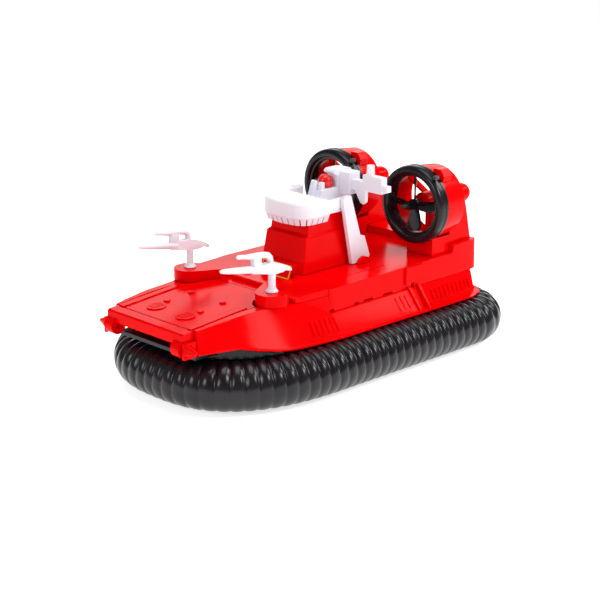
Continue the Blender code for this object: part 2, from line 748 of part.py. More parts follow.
def canopy_ring(z, inset, aft=CANOPY_AFT_X):
    """Plan of the canopy at a height: straight sides and a front with large round corners."""
    half = CANOPY_HALF - inset
    front = CANOPY_FRONT_X - inset
    corner = CANOPY_CORNER - inset
    port = [(aft, half)]
    port += arc((front - corner - CANOPY_BULGE, half - corner), corner, 90, 8, 9)
    port.append((front, 0.0))
    plan = port + mirrored(port[-2::-1])
    return [(x, y, z) for x, y in plan]


def make_canopy():
    """The white cap over the tower: a toothed fringe, a roof, side cheeks and two legs to the deck."""
    low, band = FRINGE_Z
    rings = [
        canopy_ring(low, FRINGE_TAPER),
        canopy_ring(band - 0.6, 0.4),
        canopy_ring(band, 0.0),
        canopy_ring(CANOPY_TOP_Z - 1.5, 0.5),
        canopy_ring(CANOPY_TOP_Z, 2.0),
    ]
    canopy = loft("bridge_canopy", rings, WHITE)
    aft = CANOPY_AFT_X
    space = [
        canopy_ring(low - 6.0, FRINGE_TAPER + CANOPY_WALL + 1.5, aft - 10.0),
        canopy_ring(band, CANOPY_WALL, aft - 10.0),
        canopy_ring(CANOPY_TOP_Z - 2.5, CANOPY_WALL, aft - 10.0),
    ]
    boolean(canopy, loft("canopy_space", space, WHITE))
    boolean(canopy, fringe_gaps())
    roof_half = CANOPY_HALF - 1.0
    roof = box("roof_plate", (-38.5, aft + 2.0), (-roof_half, roof_half), ROOF_Z, WHITE)
    boolean(canopy, roof, "UNION")
    step_z = (ROOF_Z[0], CANOPY_TOP_Z - 1.0)
    step = box("roof_step", (aft, aft + 2.0), (-roof_half, roof_half), step_z, WHITE)
    boolean(canopy, step, "UNION")
    cheek_view = [(aft + 4.0, 151.5), (CHEEK_AFT_X, 156.5), (CHEEK_AFT_X, 165.0), (aft + 4.0, 164.0)]
    px, _, pz = MAST_PIVOT
    for side, word in SIDES:
        cheek = prism(f"cheek_{word}", cheek_view, "Y", *span(side, 29.5, CANOPY_HALF), WHITE)
        boolean(canopy, cheek, "UNION")
        boolean(canopy, make_leg(side, word), "UNION")
        low_y, high_y = span(side, 30.0, 40.0)
        hole = cone(f"pivot_hole_{word}", (px, low_y, pz), "Y", high_y - low_y, (2.3, 2.3), WHITE, 16)
        boolean(canopy, hole)
    return canopy


# Side view of a leg of the canopy, from its foot up its fore edge.
LEG_VIEW = (
    (-35.5, 96.0),
    (-22.8, 156.4),
    (-22.0, 163.0),
    (-24.0, 166.0),
    (-33.0, 166.0),
    (-47.0, 123.0),
    (-52.8, 122.0),
    (-60.6, 100.5),
    (-59.0, 98.5),
    (-55.0, 96.2),
)


def make_leg(side, word):
    """One leg of the canopy, with a step on its after edge and a foot that clears the deck."""
    leg = prism(f"leg_{word}", LEG_VIEW, "Y", *span(side, *LEG_Y), WHITE)
    joint_y = span(side, 30.5, LEG_Y[0] + 1.0)
    joint = box(f"leg_joint_{word}", (-32.0, -23.5), joint_y, (157.5, 164.0), WHITE)
    return boolean(leg, joint, "UNION")


def fringe_gaps():
    """Slots between the teeth of the fringe, square to its edge all round the front and sides."""
    low, high = FRINGE_Z[0] - 4.0, FRINGE_Z[1] - 1.6
    ring = [(x, y) for x, y, _ in canopy_ring(low, 0.0)]
    lengths = [0.0]
    for a, b in zip(ring[:-1], ring[1:]):
        lengths.append(lengths[-1] + math.dist(a, b))
    bm = bmesh.new()
    for i in range(1, TEETH):
        wanted = lengths[-1] * i / TEETH
        k = max(j for j in range(len(ring) - 1) if lengths[j] <= wanted)
        (ax, ay), (bx, by) = ring[k], ring[k + 1]
        share = (wanted - lengths[k]) / (lengths[k + 1] - lengths[k])
        turn = math.atan2(by - ay, bx - ax)
        middle = (ax + (bx - ax) * share, ay + (by - ay) * share, (low + high) / 2)
        place = Matrix.Translation(middle) @ Matrix.Rotation(turn, 4, "Z")
        size = Matrix.Diagonal((1.3, 14.0, high - low, 1.0))
        bmesh.ops.create_cube(bm, size=1.0, matrix=place @ size)
    return finish_object("fringe_gaps", bm, WHITE)


def make_beacon():
    """The red lamp on the mast: a short cylinder with a domed top."""
    straight = BEACON_HEIGHT - BEACON_RADIUS
    profile = [(0.0, BEACON_HEIGHT)]
    for degrees in range(75, -1, -15):
        turn = math.radians(degrees)
        profile.append((BEACON_RADIUS * math.cos(turn), straight + BEACON_RADIUS * math.sin(turn)))
    profile += [(BEACON_RADIUS, 0.0), (0.0, 0.0)]
    return turned("beacon", profile, BEACON_PLACE, RED, steps=28, axis="Z")


# Side view of the mast: a plinth for the beacon, then the housing behind it.
MAST_VIEW = (
    (-19.5, 168.0),
    (-42.0, 168.4),
    (-42.5, 180.0),
    (-37.0, 183.0),
    (-36.8, 185.0),
    (-39.5, 186.6),
    (-54.0, 186.6),
    (-61.5, 185.4),
    (-64.0, 182.0),
    (-62.0, 172.0),
    (-58.0, 160.0),
)


def make_mast():
    """The mast on the roof plate: a crest, a plinth for the beacon, a housing and a yard to port."""
    base = ROOF_Z[1] + GAP
    view = [(-15.5, base), *MAST_VIEW, (-56.0, base)]
    mast = prism("mast", view, "Y", *MAST_Y, WHITE)
    crest = [(-11.5, base), (-12.8, 164.0), (-17.6, 177.0), (-19.4, 178.0), (-21.5, 177.0), (-23.0, base)]
    fin = [(22.0, 169.0), (31.0, 155.0), (34.5, 153.3), (37.5, 156.0), (38.0, 169.0)]
    pieces = [
        prism("mast_crest", crest, "Y", -3.0, 2.0, WHITE),
        box("beacon_plinth", (-43.0, -25.0), (-8.6, 8.6), (158.0, 168.7), WHITE),
        box("mast_shoulder", (-61.0, -46.0), (6.0, 22.0), (162.0, 184.0), WHITE),
        box("yard_valley", (-58.0, -50.0), (20.0, 38.0), (167.0, 177.0), WHITE),
        box("yard", (-58.0, -50.0), (36.0, 61.0), (168.0, 184.0), WHITE),
        box("yard_stub", (-57.0, -51.0), (60.0, 67.5), (170.5, 176.5), WHITE),
        cone("yard_peg", (-54.0, 43.0, 180.0), "Z", 14.0, (4.3, 3.7), WHITE, 16),
        prism("yard_fin", fin, "X", -56.0, -52.0, WHITE),
        box("front_peg", (-25.9, -21.5), (3.0, 7.4), (166.0, 175.5), WHITE),
    ]
    for piece in pieces:
        boolean(mast, piece, "UNION")
    return mast


def make_pivot_bosses():
    """Round-topped lugs beside the feet of the legs, with the pins they turn on."""
    px, _, pz = MAST_PIVOT
    reach = math.degrees(math.asin((DECK_Z + GAP - LUG_CENTRE[1]) / LUG_RADIUS))
    view = arc(LUG_CENTRE, LUG_RADIUS, reach, 180 - reach, 13)
    for side, word in SIDES:
        boss = prism(f"pivot_boss_{word}", view, "Y", *span(side, 37.6, 41.5), RED)
        low, high = span(side, 32.5, 39.5)
        pin = cone(f"pivot_pin_{word}", (px, low, pz), "Y", high - low, (1.9, 1.9), RED, 16)
        boolean(boss, pin, "UNION")


def make_fans():
    """On each side a tower, a duct with its rear body, a bezel ring and a four-bladed fan."""
    for side, word in SIDES:
        y = side * FAN_Y
        make_duct(word, y)
        make_fan_tower(word, y)
        make_ring(word, y)
        make_fan(word, y)
        clip = box(f"ring_clip_{word}", (-106.0, -100.0), (y + 27.0, y + 31.0), (178.5, 182.5), BLACK)
        bevel(clip, 0.6)


def make_ring(word, y):
    """The black bezel ring round the front of a duct."""
    front, back = RING_FRONT_X, RING_BACK_X
    profile = [
        (29.0, back),
        (29.0, front - 3.0),
        (30.5, front - 0.8),
        (33.0, front),
        (36.0, front),
        (38.6, front - 1.2),
        (RING_RADIUS, front - 4.0),
        (RING_RADIUS, back),
    ]
    return turned(f"fan_ring_{word}", profile, (0.0, y, FAN_Z), BLACK, steps=56)


# Lug on a duct's upper port side: offset from the duct's middle and height.
DUCT_LUG = ((18.0, 174.0), (30.0, 174.0), (32.0, 180.0), (27.0, 187.0), (18.0, 187.0))


def make_duct(word, y):
    """An open tube with a domed body in its middle, held by three struts."""
    front, back = RING_BACK_X - GAP, DUCT_BACK_X
    profile = [(34.0, back), (35.0, front), (38.5, front), (38.0, front - 8.0), (36.0, back)]
    duct = turned(f"fan_duct_{word}", profile, (0.0, y, FAN_Z), RED, steps=48)
    body = [(0.0, BODY_FRONT_X), (BODY_RADIUS - 1.0, BODY_FRONT_X), (BODY_RADIUS, BODY_FRONT_X - 1.0)]
    for degrees in range(0, 90, 15):
        turn = math.radians(degrees)
        body.append((BODY_RADIUS * math.cos(turn), DOME_X - BODY_RADIUS * math.sin(turn)))
    body.append((0.0, DOME_X - BODY_RADIUS))
    boolean(duct, turned(f"body_{word}", body, (0.0, y, FAN_Z), RED, steps=28), "UNION")
    for degrees in (30, 150, 270):
        reach = (BODY_RADIUS - 2.0, 35.2)
        strut = box(f"strut_{word}_{degrees}", (back + 2.0, back + 10.0), (-1.2, 1.2), reach, RED)
        strut.rotation_euler = (math.radians(degrees - 90), 0.0, 0.0)
        strut.location = Vector((0.0, y, FAN_Z)) * MM
        boolean(duct, strut, "UNION")
    lug_view = [(y + across, z) for across, z in DUCT_LUG]
    lug = prism(f"duct_lug_{word}", lug_view, "X", -124.0, front - 0.5, RED)
    boolean(lug, cone(f"lug_space_{word}", (-130.0, y, FAN_Z), "X", 30.0, (37.0, 37.0), RED, 48))
    return boolean(duct, lug, "UNION")


# Side view of a fan tower, which steps up on to the after deck.
FAN_TOWER_VIEW = (
    (-114.0, DECK_Z + GAP),
    (-139.7, DECK_Z + GAP),
    (-139.7, AFT_DECK_Z + GAP + 0.2),
    (-174.0, AFT_DECK_Z + GAP + 1.0),
    (-166.0, 139.0),
    (-164.0, FAN_Z - 3.0),
    (-150.0, FAN_Z - 3.0),
    (DUCT_BACK_X - 2.0, 136.0),
    (DUCT_BACK_X - 2.0, 118.0),
    (-114.0, 118.0),
)


def make_fan_tower(word, y):
    """The pylon under a duct, that also holds the body behind it."""
    tower = prism(f"fan_tower_{word}", FAN_TOWER_VIEW, "Y", y - 17.0, y + 17.0, RED)
    start = (DUCT_BACK_X - 1.0, y, FAN_Z)
    boolean(tower, cone(f"duct_space_{word}", start, "X", 60.0, (39.0, 39.0), RED, 48))
    start = (-200.0, y, FAN_Z)
    boolean(tower, cone(f"body_space_{word}", start, "X", 80.0, (10.5, 10.5), RED, 28))


def blade_ring(share):
    """Section of a blade at a share of its length: wider and flatter to the wind towards the tip."""
    radius = 3.5 + (BLADE_TIP - 3.5) * share
    half = 4.0 + 2.6 * math.sin(math.pi / 2 * min(1.0, share * 1.4))
    turn = math.radians(60.0 - 28.0 * share)
    across = Vector((math.sin(turn), math.cos(turn), 0.0))
    thick = Vector((math.cos(turn), -math.sin(turn), 0.0)) * BLADE_THICK / 2
    centre = Vector((FAN_X, 0.0, radius))
    corners = ((-half, -0.5), (-half, 0.5), (0.0, 1.0), (half, 0.5), (half, -0.5), (0.0, -1.0))
    return [centre + across * a + thick * b for a, b in corners]


def make_fan(word, y):
    """Four twisted blades on a hub with a long spinner."""
    hub = [
        (0.0, FAN_X + 21.0),
        (1.6, FAN_X + 20.5),
        (4.0, FAN_X + 12.0),
        (5.5, FAN_X + 3.0),
        (5.0, FAN_X - 4.5),
        (0.0, FAN_X - 4.5),
    ]
    fan = turned(f"fan_{word}", hub, (0.0, y, FAN_Z), BLACK, steps=22)
    for i in range(4):
        blade = loft(f"blade_{word}_{i}", [blade_ring(step / 6) for step in range(7)], BLACK)
        blade.rotation_euler = (math.radians(90 * i), 0.0, 0.0)
        blade.location = Vector((0.0, y, FAN_Z)) * MM
        boolean(fan, blade, "UNION")
    carry(hinge_empty(f"fan_pivot_{word}", (FAN_X, y, FAN_Z)), fan)


# Side view of a cannon: the lower and upper barrels, the link between them and the finned tail.
CANNON_VIEW = (
    (67.9, 116.0),
    (85.0, 116.5),
    (88.0, 118.0),
    (101.3, 119.0),
    (145.7, 127.8),
    (158.1, 130.3),
    (157.2, 134.5),
    (119.0, 127.3),
    (118.2, 134.5),
    (137.0, 138.5),
    (136.5, 141.5),
    (96.0, 136.8),
    (92.0, 134.0),
    (71.8, 122.5),
    (67.9, 119.0),
)


CANNON_HOLE = ((99.0, 126.0), (108.0, 128.0), (108.0, 133.0), (99.0, 131.0))

# Profile of a cannon's post, top to bottom: a stem, a flared foot and a peg in the pod.
POST_PROFILE = (
    (0.0, 120.0),
    (3.6, 120.0),
    (3.6, POD_Z + 5.0),
    (5.0, POD_Z + 2.0),
    (6.0, POD_Z + GAP),
    (2.6, POD_Z + GAP),
    (2.6, 93.0),
    (0.0, 93.0),
)


def make_cannons():
    """A water cannon on each pod, on a flared post that turns in the pod."""
    for side, word in SIDES:
        y = side * POD_Y
        cannon = prism(f"water_cannon_{word}", CANNON_VIEW, "Y", y - 3.0, y + 3.0, WHITE)
        boolean(cannon, prism(f"cannon_hole_{word}", CANNON_HOLE, "Y", y - 6.0, y + 6.0, WHITE))
        stem = turned(f"post_{word}", POST_PROFILE, (POD_X, y, 0.0), WHITE, steps=24, axis="Z")
        boolean(cannon, stem, "UNION")
        carry(hinge_empty(f"cannon_pivot_{word}", (POD_X, y, POD_Z)), cannon)


def main():
    make_skirt()
    make_belly()
    make_wheels()
    make_hull()
    make_bay_floor()
    make_apron()
    make_deckhouse()
    make_pods()
    make_ramp()
    make_hinge_pins()
    make_tower()
    make_pivot_bosses()
    top = hinge_empty("mast_pivot", MAST_PIVOT)
    carry(top, make_canopy(), make_mast(), make_beacon())
    make_fans()
    make_cannons()


main()
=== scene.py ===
"""Toy fire hovercraft: looks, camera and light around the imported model.

X runs towards the bow, Y to port and Z up. Shapes are in millimetres, camera, lights and materials in metres.
"""

import json
import math

import bmesh
import bpy
from mathutils import Matrix, Vector


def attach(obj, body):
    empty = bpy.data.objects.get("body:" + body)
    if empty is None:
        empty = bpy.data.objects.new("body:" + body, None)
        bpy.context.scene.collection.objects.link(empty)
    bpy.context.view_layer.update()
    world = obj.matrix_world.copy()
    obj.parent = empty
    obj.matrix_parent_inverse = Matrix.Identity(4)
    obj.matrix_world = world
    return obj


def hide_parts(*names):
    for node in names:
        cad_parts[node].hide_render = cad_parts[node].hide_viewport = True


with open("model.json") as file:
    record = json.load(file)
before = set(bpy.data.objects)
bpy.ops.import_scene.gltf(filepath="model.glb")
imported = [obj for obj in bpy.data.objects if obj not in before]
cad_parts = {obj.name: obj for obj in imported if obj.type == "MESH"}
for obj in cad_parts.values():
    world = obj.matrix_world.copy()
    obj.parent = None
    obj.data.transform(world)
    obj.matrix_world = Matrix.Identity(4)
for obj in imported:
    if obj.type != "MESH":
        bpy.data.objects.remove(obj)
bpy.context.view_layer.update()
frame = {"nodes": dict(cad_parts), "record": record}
scene = bpy.context.scene

MM = 0.001
SIDES = ((1, "port"), (-1, "starboard"))
ENDS = ("front", "rear")

# Points that the joints' axes run through, from the part.
AXES = {joint["name"]: Vector(joint["pos_m"]) / MM for joint in frame["record"]["behaviour"]["joints"]}

# Ends of the middle part of a noise's range.
NOISE_LOW = 0.3
NOISE_HIGH = 0.7


class Nodes:
    """Short ways to build a material's node tree."""

    def __init__(self, name, colour, roughness):
        self.material = bpy.data.materials.new(name)
        self.material.use_nodes = True
        self.tree = self.material.node_tree
        self.shader = self.tree.nodes["Principled BSDF"]
        self.set_value("Base Color", (*colour, 1.0))
        self.set_value("Roughness", roughness)
        self.place = self.add("ShaderNodeTexCoord").outputs["Object"]

    def add(self, kind):
        return self.tree.nodes.new(kind)

    def link(self, output, target):
        self.tree.links.new(output, target)

    def set_value(self, name, value):
        self.shader.inputs[name].default_value = value

    def drive(self, name, output):
        self.link(output, self.shader.inputs[name])

    def noise(self, scale, detail=3.0, stretch=(1.0, 1.0, 1.0)):
        mapping = self.add("ShaderNodeMapping")
        mapping.inputs["Scale"].default_value = stretch
        self.link(self.place, mapping.inputs["Vector"])
        noise = self.add("ShaderNodeTexNoise")
        noise.inputs["Scale"].default_value = scale
        noise.inputs["Detail"].default_value = detail
        self.link(mapping.outputs["Vector"], noise.inputs["Vector"])
        return noise.outputs["Fac"]

    def ramp(self, factor, dark_at, dark, light_at, light):
        """Colour that goes from dark to light between two values of the factor."""
        ramp = self.add("ShaderNodeValToRGB")
        first, last = ramp.color_ramp.elements
        first.position = dark_at
        first.color = (*dark, 1.0)
        last.position = light_at
        last.color = (*light, 1.0)
        self.link(factor, ramp.inputs["Fac"])
        return ramp.outputs["Color"]

    def span(self, factor, low, high):
        """Value from low to high over the middle part of a noise's range."""
        mapped = self.add("ShaderNodeMapRange")
        mapped.inputs["From Min"].default_value = NOISE_LOW
        mapped.inputs["From Max"].default_value = NOISE_HIGH
        mapped.inputs["To Min"].default_value = low
        mapped.inputs["To Max"].default_value = high
        self.link(factor, mapped.inputs["Value"])
        return mapped.outputs["Result"]

    def bump(self, height, depth, strength, below=None):
        bump = self.add("ShaderNodeBump")
        bump.inputs["Strength"].default_value = strength
        bump.inputs["Distance"].default_value = depth
        self.link(height, bump.inputs["Height"])
        if below:
            self.link(below, bump.inputs["Normal"])
        return bump.outputs["Normal"]


def moulded_plastic(name, dark, light, roughness, grain=0.4, specular=0.5):
    """Injection-moulded plastic: clouded colour, fine scuffs, faint orange peel and a finer grain."""
    nodes = Nodes(name, light, roughness)
    cloud = nodes.noise(scale=22.0, detail=4.0, stretch=(1.0, 1.0, 1.6))
    nodes.drive("Base Color", nodes.ramp(cloud, dark_at=NOISE_LOW, dark=dark, light_at=0.62, light=light))
    scuff = nodes.noise(scale=300.0, detail=5.0)
    nodes.drive("Roughness", nodes.span(scuff, low=roughness * 0.85, high=roughness * 1.3))
    peel = nodes.bump(nodes.noise(scale=110.0, detail=1.0), depth=0.0002, strength=0.06)
    skin = nodes.bump(nodes.noise(scale=2400.0, detail=2.0), depth=0.00003, strength=grain, below=peel)
    nodes.drive("Normal", skin)
    nodes.set_value("Specular IOR Level", specular)
    return nodes.material


def lamp_plastic():
    """Clear red plastic of the beacon."""
    nodes = Nodes("beacon_red", (0.75, 0.004, 0.006), roughness=0.12)
    cloud = nodes.noise(scale=160.0, detail=2.0)
    deep, bright = (0.55, 0.002, 0.004), (0.86, 0.008, 0.010)
    tint = nodes.ramp(cloud, dark_at=NOISE_LOW, dark=deep, light_at=NOISE_HIGH, light=bright)
    nodes.drive("Base Color", tint)
    nodes.drive("Normal", nodes.bump(nodes.noise(scale=900.0), depth=0.00006, strength=0.3))
    nodes.set_value("Subsurface Weight", 0.15)
    nodes.set_value("Subsurface Radius", (0.004, 0.0008, 0.0008))
    nodes.set_value("Subsurface Scale", 1.0)
    return nodes.material


RED = moulded_plastic(
    "red_plastic",
    dark=(0.72, 0.0002, 0.0008),
    light=(0.82, 0.0003, 0.0014),
    roughness=0.15,
    specular=0.035,
)
WHITE = moulded_plastic(
    "white_plastic",
    dark=(0.75, 0.73, 0.80),
    light=(0.82, 0.80, 0.87),
    roughness=0.36,
    specular=0.30,
)
BLACK = moulded_plastic(
    "black_plastic",
    dark=(0.002, 0.002, 0.003),
    light=(0.006, 0.005, 0.007),
    roughness=0.24,
    grain=0.6,
    specular=0.3,
)
SKIRT = moulded_plastic(
    "skirt_plastic",
    dark=(0.003, 0.002, 0.004),
    light=(0.008, 0.006, 0.009),
    roughness=0.22,
    grain=0.7,
    specular=0.36,
)
GREY = moulded_plastic(
    "dark_grey_plastic",
    dark=(0.020, 0.019, 0.022),
    light=(0.036, 0.034, 0.040),
    roughness=0.34,
)
YELLOW = moulded_plastic(
    "yellow_print",
    dark=(0.82, 0.40, 0.004),
    light=(0.92, 0.52, 0.010),
    roughness=0.40,
)
BEACON = lamp_plastic()


def add_piece(name, bm, material, body, replaced=(), smooth_angle=35.0, scale=MM):
    """Makes a visible piece from a bmesh and hangs it on its body."""
    bmesh.ops.scale(bm, vec=(scale, scale, scale), verts=bm.verts)
    bmesh.ops.recalc_face_normals(bm, faces=bm.faces)
    mesh = bpy.data.meshes.new(name)
    bm.to_mesh(mesh)
    bm.free()
    mesh.shade_smooth()
    mesh.set_sharp_from_angle(angle=math.radians(smooth_angle))
    mesh.materials.append(material)
    obj = bpy.data.objects.new(name, mesh)
    scene.collection.objects.link(obj)
    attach(obj, body)
    if replaced:
        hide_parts(*replaced)
    return obj


def circle(count):
    """Cosine and sine of even steps round a circle."""
    angles = [2.0 * math.pi * i / count for i in range(count)]
    return [(math.cos(angle), math.sin(angle)) for angle in angles]


def arc(centre, radius, start, end, count):
    """Points of an arc between two angles in degrees."""
    points = []
    for i in range(count):
        angle = math.radians(start + (end - start) * i / (count - 1))
        points.append((centre[0] + radius * math.cos(angle), centre[1] + radius * math.sin(angle)))
    return points


def bridge_rows(bm, rows, closed_loop=False):
    """Quads between neighbouring closed rows of vertices."""
    pairs = list(zip(rows[:-1], rows[1:]))
    if closed_loop:
        pairs.append((rows[-1], rows[0]))
    count = len(rows[0])
    for row, following in pairs:
        for i in range(count):
            j = (i + 1) % count
            bm.faces.new((row[i], row[j], following[j], following[i]))


def loft(bm, rows):
    """A closed body through rows of vertices, with flat ends."""
    bridge_rows(bm, rows)
    bm.faces.new(rows[0][::-1])
    bm.faces.new(rows[-1])


def lathe(bm, profile, axis, centre, steps):
    """Turns a closed (radius, height) profile about an axis through a centre."""
    rows = []
    for cosine, sine in circle(steps):
        row = []
        for radius, height in profile:
            u, v = radius * cosine, radius * sine
            local = {"X": (height, u, v), "Y": (u, height, v), "Z": (u, v, height)}[axis]
            row.append(bm.verts.new(Vector(local) + Vector(centre)))
        rows.append(row)
    bridge_rows(bm, rows, closed_loop=True)
    bmesh.ops.remove_doubles(bm, verts=bm.verts, dist=0.001)


def round_edges(bm, edges, width, segments):
    """Rounds edges, each of which may be given more than once."""
    single = list(dict.fromkeys(edges))
    bmesh.ops.bevel(bm, geom=single, offset=width, segments=segments, affect="EDGES", profile=0.5)


def block(bm, matrix, size, width):
    """A box with slightly chamfered edges."""
    made = bmesh.ops.create_cube(bm, size=1.0, matrix=matrix @ Matrix.Diagonal((*size, 1.0)))
    round_edges(bm, (edge for corner in made["verts"] for edge in corner.link_edges), width, segments=1)


def slab(bm, outline, low, high, width):
    """An upright (x, z) outline drawn out from low to high across the craft, with rounded edges."""
    port = [bm.verts.new((x, high, z)) for x, z in outline]
    starboard = [bm.verts.new((x, low, z)) for x, z in outline]
    faces = [bm.faces.new(port), bm.faces.new(starboard[::-1])]
    for i in range(len(outline)):
        j = (i + 1) % len(outline)
        faces.append(bm.faces.new((port[j], port[i], starboard[i], starboard[j])))
    round_edges(bm, (edge for face in faces for edge in face.edges), width, segments=2)


def tube(bm, path, y, points=20):
    """A round bar in an upright plane along (x, z, radius) stations, with flat ends."""
    across = Vector((0.0, 1.0, 0.0))
    rows = []
    for i, (x, z, radius) in enumerate(path):
        before, after = path[max(i - 1, 0)], path[min(i + 1, len(path) - 1)]
        along = Vector((after[0] - before[0], 0.0, after[1] - before[1])).normalized()
        up = along.cross(across)
        middle = Vector((x, y, z))
        rows.append([bm.verts.new(middle + (across * c + up * s) * radius) for c, s in circle(points)])
    loft(bm, rows)


# CAD nodes that are kept with rounded edges: node or pair of nodes, material and width of the rounding.
ROUNDED = (
    ("hull", RED, 0.6),
    ("deckhouse", RED, 0.8),
    ("bow_ramp", RED, 0.35),
    ("bridge_tower", RED, 1.0),
    ("cannon_pod", RED, 0.4),
    ("fan_tower", RED, 1.0),
    ("fan_duct", RED, 0.4),
    ("hinge_lug", RED, 0.4),
    ("pivot_boss", RED, 0.4),
    ("bridge_canopy", WHITE, 0.5),
    ("mast", WHITE, 0.9),
    ("ring_clip", GREY, 0.8),
    ("bow_apron", BLACK, 0.4),
    ("bay_floor", BLACK, 0.4),
)
WELD_DISTANCE = 1e-5
FLAT_ANGLE = 0.6
EDGE_ANGLE = 28.0


def body_of(node):
    """Name of the body that a CAD node belongs to."""
    bodies = frame["record"]["behaviour"]["bodies"]
    return next(body for body, members in bodies.items() if node in members)


def rounded_copy(node, material, width):
    """The CAD node's own shape with its edges rounded, in place of the node."""
    bm = bmesh.new()
    bm.from_mesh(frame["nodes"][node].data)
    bmesh.ops.remove_doubles(bm, verts=bm.verts, dist=WELD_DISTANCE)
    bmesh.ops.dissolve_limit(bm, angle_limit=math.radians(FLAT_ANGLE), verts=bm.verts, edges=bm.edges)
    shape = add_piece(f"{node}_moulding", bm, material, body_of(node), (node,), scale=1.0)
    bevel = shape.modifiers.new("edge", "BEVEL")
    bevel.width = width * MM
    bevel.segments = 2
    bevel.limit_method = "ANGLE"
    bevel.angle_limit = math.radians(EDGE_ANGLE)
    bevel.use_clamp_overlap = True
    bevel.miter_outer = "MITER_ARC"
    normals = shape.modifiers.new("normals", "WEIGHTED_NORMAL")
    normals.keep_sharp = False


def make_mouldings():
    """Every CAD node in the table, single or as a pair, with rounded edges."""
    for name, material, width in ROUNDED:
        for node in (name, f"{name}_port", f"{name}_starboard"):
            if node in frame["nodes"]:
                rounded_copy(node, material, width)


def paint_underside():
    """The belly plate, bearing blocks and axles keep the CAD's shape and get the black plastic."""
    for name, node in frame["nodes"].items():
        if name.startswith(("belly", "bearing", "axle")):
            node.data.materials.clear()
            node.data.materials.append(BLACK)


# Skirt: radius and height of its round section, and the plan of its centre line. The stern has an x, a half
# width and a corner radius, the shoulder an x and a half width, the bow an x and the power of its curve.
SKIRT_RADIUS = 24.2
SKIRT_MID_Z = 25.2
SKIRT_STERN = (-181.0, 99.7, 34.0)
SKIRT_SHOULDER = (30.0, 96.0)
SKIRT_BOW = (176.0, 2.75)
CORNER_POINTS = 25
BOW_POINTS = 90
SECTION_POINTS = 44

# Ribs: a share of the groove's depth at even steps across one rib, from the groove over the crest and back.
# The groove is shallow by the floor and gets deeper over the outer and upper side.
RIB_PITCH = 11.0
RIB_SECTION = (1.0, 0.70, 0.30, 0.12, 0.03, 0.0, 0.03, 0.12, 0.30, 0.70)
GROOVE_SHALLOW = 0.8
GROOVE_MORE = 1.9
CREST_INSET = 0.15
FLOOR_FLAT = 0.35


def skirt_plan():
    """Closed plan of the skirt's centre line, from the middle of the stern round by port."""
    stern_x, stern_half, corner = SKIRT_STERN
    shoulder_x, shoulder_half = SKIRT_SHOULDER
    bow_x, power = SKIRT_BOW
    half = [(stern_x, 0.0)]
    half += arc((stern_x + corner, stern_half - corner), corner, 180, 90, CORNER_POINTS)
    half.append((shoulder_x, shoulder_half))
    for i in range(1, BOW_POINTS + 1):
        angle = math.pi / 2 * i / BOW_POINTS
        along = math.sin(angle) ** (2 / power)
        across = max(math.cos(angle), 0.0) ** (2 / power)
        half.append((shoulder_x + (bow_x - shoulder_x) * along, shoulder_half * across))
    return half + [(x, -y) for x, y in half[-2:0:-1]]


def even_points(loop, count):
    """Points at even steps along a closed loop."""
    lengths = [0.0]
    for a, b in zip(loop, loop[1:] + loop[:1]):
        lengths.append(lengths[-1] + math.dist(a, b))
    points = []
    index = 0
    for i in range(count):
        wanted = lengths[-1] * i / count
        while lengths[index + 1] < wanted:
            index += 1
        a, b = loop[index], loop[(index + 1) % len(loop)]
        share = (wanted - lengths[index]) / (lengths[index + 1] - lengths[index])
        points.append((a[0] + (b[0] - a[0]) * share, a[1] + (b[1] - a[1]) * share))
    return points


def outward(points, i):
    """Unit vector out of a closed loop at one of its points."""
    before, after = points[i - 1], points[(i + 1) % len(points)]
    along, across = after[0] - before[0], after[1] - before[1]
    size = math.hypot(along, across)
    return -across / size, along / size


def skirt_radius(groove, up):
    """Radius of the skirt's section at a height of -1 to 1, for a share of the groove's depth."""
    depth = GROOVE_SHALLOW + GROOVE_MORE * max(0.0, min(1.0, 0.35 + 1.3 * up))
    flat = FLOOR_FLAT * max(0.0, -up) ** 6
    return SKIRT_RADIUS - CREST_INSET - groove * depth - flat


def make_skirt():
    """The ribbed skirt: deep grooves over its upper side that fade towards the floor."""
    plan = skirt_plan()
    length = sum(math.dist(a, b) for a, b in zip(plan, plan[1:] + plan[:1]))
    steps = len(RIB_SECTION)
    points = even_points(plan, round(length / RIB_PITCH) * steps)
    bm = bmesh.new()
    rows = []
    for i, (x, y) in enumerate(points):
        nx, ny = outward(points, i)
        row = []
        for out, up in circle(SECTION_POINTS):
            radius = skirt_radius(RIB_SECTION[i % steps], up)
            place = (x + nx * out * radius, y + ny * out * radius, SKIRT_MID_Z + up * radius)
            row.append(bm.verts.new(place))
        rows.append(row)
    bridge_rows(bm, rows, closed_loop=True)
    add_piece("skirt_bellows", bm, SKIRT, "hovercraft", ("skirt",), smooth_angle=80.0)


# Section of a fan's ring, from its bore round the front to its outside, as (radius, distance ahead of the
# fan's centre).
RING_SECTION = (
    (29.1, -5.5),
    (29.1, 3.3),
    (29.5, 4.1),
    (31.2, 4.5),
    (31.6, 5.3),
    (32.0, 6.5),
    (33.0, 7.25),
    (34.2, 7.5),
    (36.2, 7.4),
    (37.8, 6.8),
    (38.9, 5.8),
    (39.5, 4.5),
    (39.8, 2.9),
    (39.8, -0.9),
    (39.3, -1.3),
    (39.3, -2.3),
    (39.8, -2.7),
    (39.8, -5.5),
)


def make_ring(word):
    """Bezel ring of a fan, with a stepped lip and a rolled front edge."""
    bm = bmesh.new()
    lathe(bm, RING_SECTION, "X", AXES[f"fan_spin_{word}"], steps=144)
    add_piece(f"bezel_{word}", bm, BLACK, "hovercraft", (f"fan_ring_{word}",), smooth_angle=40.0)


